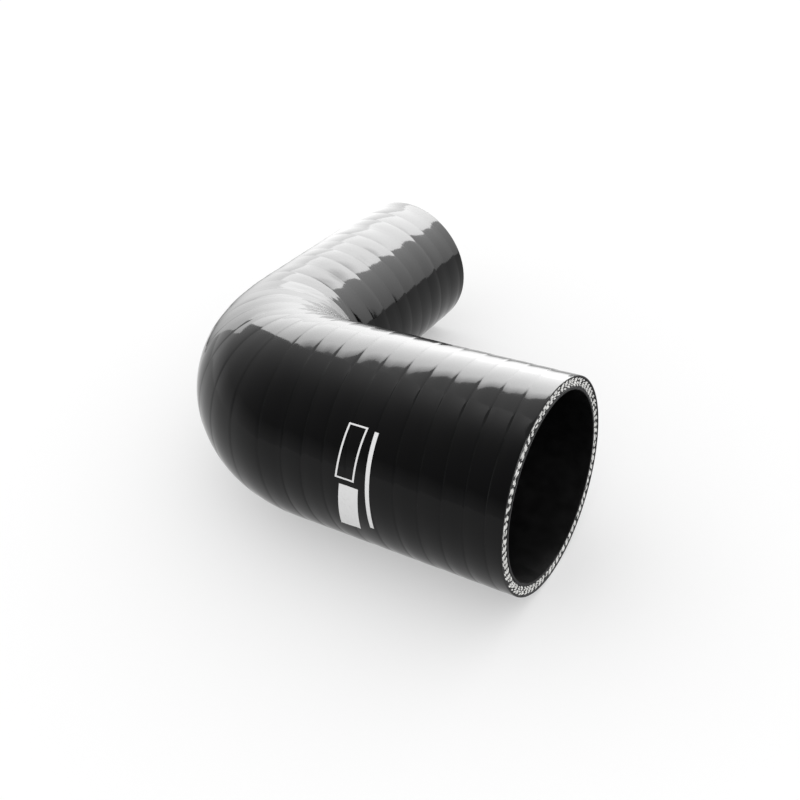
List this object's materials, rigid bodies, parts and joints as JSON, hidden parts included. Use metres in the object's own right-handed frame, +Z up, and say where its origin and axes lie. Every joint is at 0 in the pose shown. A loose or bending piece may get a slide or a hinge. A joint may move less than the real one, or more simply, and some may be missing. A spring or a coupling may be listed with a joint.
{
  "type": "silicone elbow hose",
  "caption": "Black silicone reducer elbow hose with a right-angle bend, a wide and a narrow cut end, and a tape-wrapped surface.",
  "frame": {"origin": "on the ground, under the middle of the hose's box", "axes": "+X along the wide leg, out of the wide cut end; +Y near the narrow leg's direction; +Z up, with the hose lying on its side"},
  "size_m": [0.1614, 0.1616, 0.0725],
  "materials": {
    "silicone": "glossy black silicone rubber",
    "reinforcement": "light grey woven ply, cut square at the ends",
    "marking": "flat light grey print"
  },
  "bodies": {
    "root": {"elbow_hose": "silicone"}
  },
  "joints": []
}
